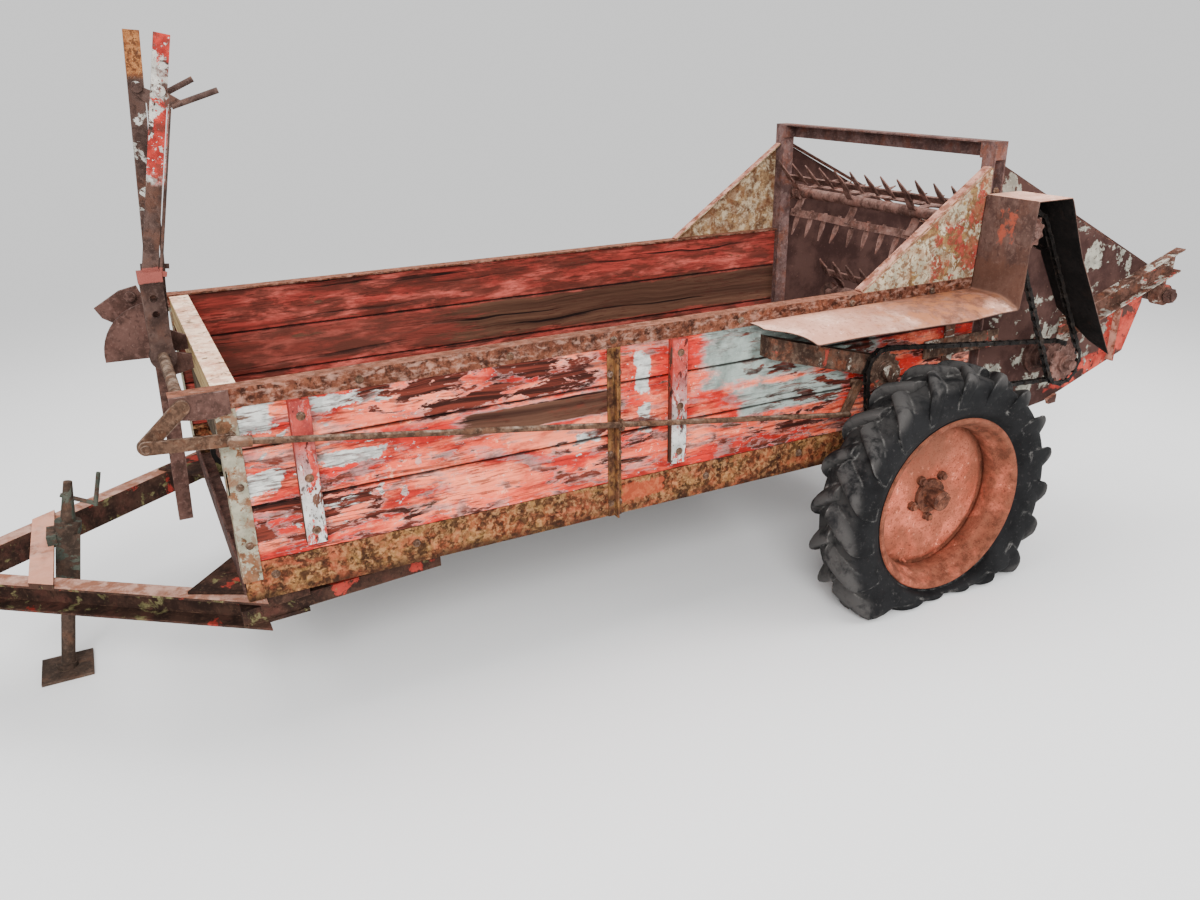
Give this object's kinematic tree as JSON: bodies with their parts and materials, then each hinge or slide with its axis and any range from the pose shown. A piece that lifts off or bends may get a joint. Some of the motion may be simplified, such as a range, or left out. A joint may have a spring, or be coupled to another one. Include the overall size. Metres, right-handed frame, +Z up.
{
  "type": "manure spreader",
  "caption": "Trailed two-wheel manure spreader: wooden box on steel sills, toothed beaters under an arch, flat tyres and a jacked A-frame drawbar.",
  "frame": {"origin": "on the ground, at the middle of the machine's length and width", "axes": "+X forward to the hitch, +Y to the machine's left, +Z up"},
  "size_m": [4.269, 1.7776, 1.6687],
  "materials": {
    "red_planks": "flaked red paint over weathered boards",
    "bare_wood": "weathered and dirty",
    "rusty_steel": "brown rust",
    "mossy_steel": "rust with moss and dirt",
    "flaked_paint": "red over pale grey primer, flaked to rust",
    "rim_paint": "faded red with rust bloom",
    "greasy_steel": "old grease and dirt",
    "worn_steel": "worn bright edges under rust",
    "tyre": "old rubber"
  },
  "bodies": {
    "frame": {"sill_left": "mossy_steel", "sill_right": "mossy_steel", "cross_members": "mossy_steel", "floor_boards": "bare_wood", "planks_left": "red_planks", "planks_right": "red_planks", "front_board": "bare_wood", "front_beam": "flaked_paint", "rail_left": "rusty_steel", "rail_right": "rusty_steel", "posts_left": "rusty_steel", "posts_right": "rusty_steel", "arch": "rusty_steel", "side_plate_left": "flaked_paint", "side_plate_right": "flaked_paint", "tail_rail_left": "rusty_steel", "tail_rail_right": "rusty_steel", "drawbar": "rusty_steel", "hitch_eye": "rusty_steel", "jack_body": "rusty_steel", "axle_bearings": "greasy_steel", "beater_bearings": "greasy_steel", "main_chain": "greasy_steel", "beater_chain": "greasy_steel", "idler_arm": "flaked_paint", "chain_guard": "flaked_paint", "apron": "rusty_steel", "apron_shafts": "greasy_steel", "feed_drive": "rusty_steel", "lever_stand": "rusty_steel", "hand_levers": "flaked_paint", "cross_shaft": "rusty_steel", "engaging_rod": "rusty_steel"},
    "wheel_left": {"rim_left": "rim_paint", "hub_left": "rusty_steel", "tyre_left": "tyre"},
    "wheel_right": {"rim_right": "rim_paint", "hub_right": "rusty_steel", "tyre_right": "tyre"},
    "axle": {"axle": "greasy_steel"},
    "lower_beater": {"lower_beater": "rusty_steel"},
    "upper_beater": {"upper_beater": "rusty_steel"},
    "tail_shaft": {"tail_shaft": "worn_steel"},
    "jack_leg": {"jack_leg": "worn_steel"}
  },
  "joints": [
    {"name": "wheel_left_spin", "type": "hinge", "parent": "frame", "child": "wheel_left", "pos_m": [-0.8145, 0.775, 0.308], "axis": [0, 1, 0], "continuous": true},
    {"name": "wheel_right_spin", "type": "hinge", "parent": "frame", "child": "wheel_right", "pos_m": [-0.8145, -0.775, 0.308], "axis": [0, 1, 0], "continuous": true},
    {"name": "axle_spin", "type": "hinge", "parent": "frame", "child": "axle", "pos_m": [-0.8145, 0, 0.308], "axis": [0, 1, 0], "continuous": true},
    {"name": "lower_beater_spin", "type": "hinge", "parent": "frame", "child": "lower_beater", "pos_m": [-1.4645, 0, 0.615], "axis": [0, 1, 0], "continuous": true},
    {"name": "upper_beater_spin", "type": "hinge", "parent": "frame", "child": "upper_beater", "pos_m": [-1.2145, 0, 1.073], "axis": [0, 1, 0], "continuous": true},
    {"name": "tail_shaft_spin", "type": "hinge", "parent": "frame", "child": "tail_shaft", "pos_m": [-2.0645, 0, 0.76], "axis": [0, 1, 0], "continuous": true},
    {"name": "jack_slide", "type": "slide", "parent": "frame", "child": "jack_leg", "axis": [-0.1908, 0, 0.9816], "range_m": [-0.015, 0.2]}
  ],
  "couplings": [
    {"joint": "lower_beater_spin", "follows": "axle_spin", "ratio": 1.9091},
    {"joint": "upper_beater_spin", "follows": "axle_spin", "ratio": 2.2909}
  ]
}
